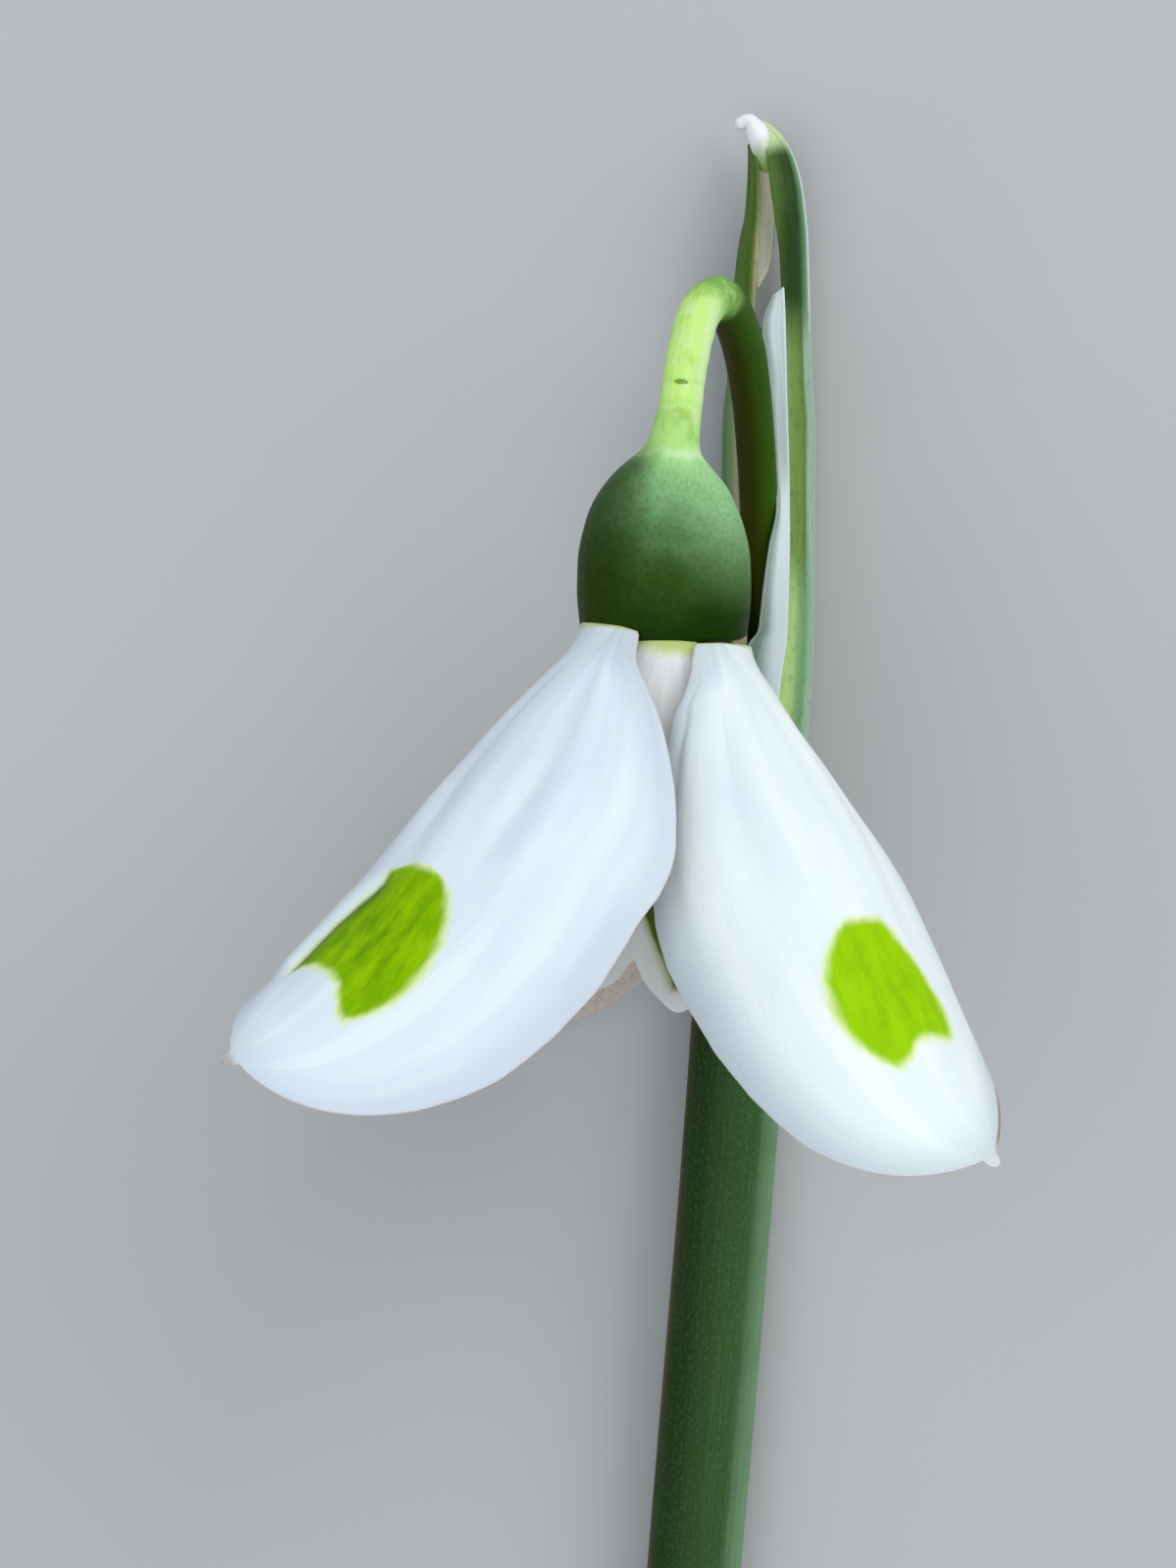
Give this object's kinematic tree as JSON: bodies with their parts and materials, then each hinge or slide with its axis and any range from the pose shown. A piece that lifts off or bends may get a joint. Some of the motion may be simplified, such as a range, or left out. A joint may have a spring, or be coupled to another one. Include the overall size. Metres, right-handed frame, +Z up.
{
  "type": "snowdrop flower",
  "caption": "Nodding white snowdrop blossom on its cut stem, with spathe, ovary, green-marked outer petals and an inner tube, lying on a surface.",
  "frame": {"origin": "middle of the footprint, on the surface that the flower lies on", "axes": "+Z up from the surface, +Y from the stem's cut end towards the spathe's tip, +X to the right when looking down"},
  "size_m": [0.0314, 0.0902, 0.0333],
  "materials": {
    "stem": "waxy green plant stem with a pale bloom",
    "spathe": "green bract valves joined by a thin papery membrane",
    "pedicel": "smooth light green plant stalk",
    "ovary": "smooth waxy dark green",
    "outer_petal": "soft white petal with a yellow-green mark",
    "inner_petal": "white petal with a dark green mark at the notch",
    "stamen": "matt orange-yellow anther",
    "style": "pale green to white"
  },
  "bodies": {
    "root": {"stem": "stem", "spathe": "spathe", "pedicel": "pedicel", "ovary": "ovary", "outer_petal_left": "outer_petal", "outer_petal_right": "outer_petal", "outer_petal_rear": "outer_petal", "inner_petal_front": "inner_petal", "inner_petal_rear_left": "inner_petal", "inner_petal_rear_right": "inner_petal", "stamen_1": "stamen", "stamen_2": "stamen", "stamen_3": "stamen", "stamen_4": "stamen", "stamen_5": "stamen", "stamen_6": "stamen", "style": "style"}
  },
  "joints": []
}
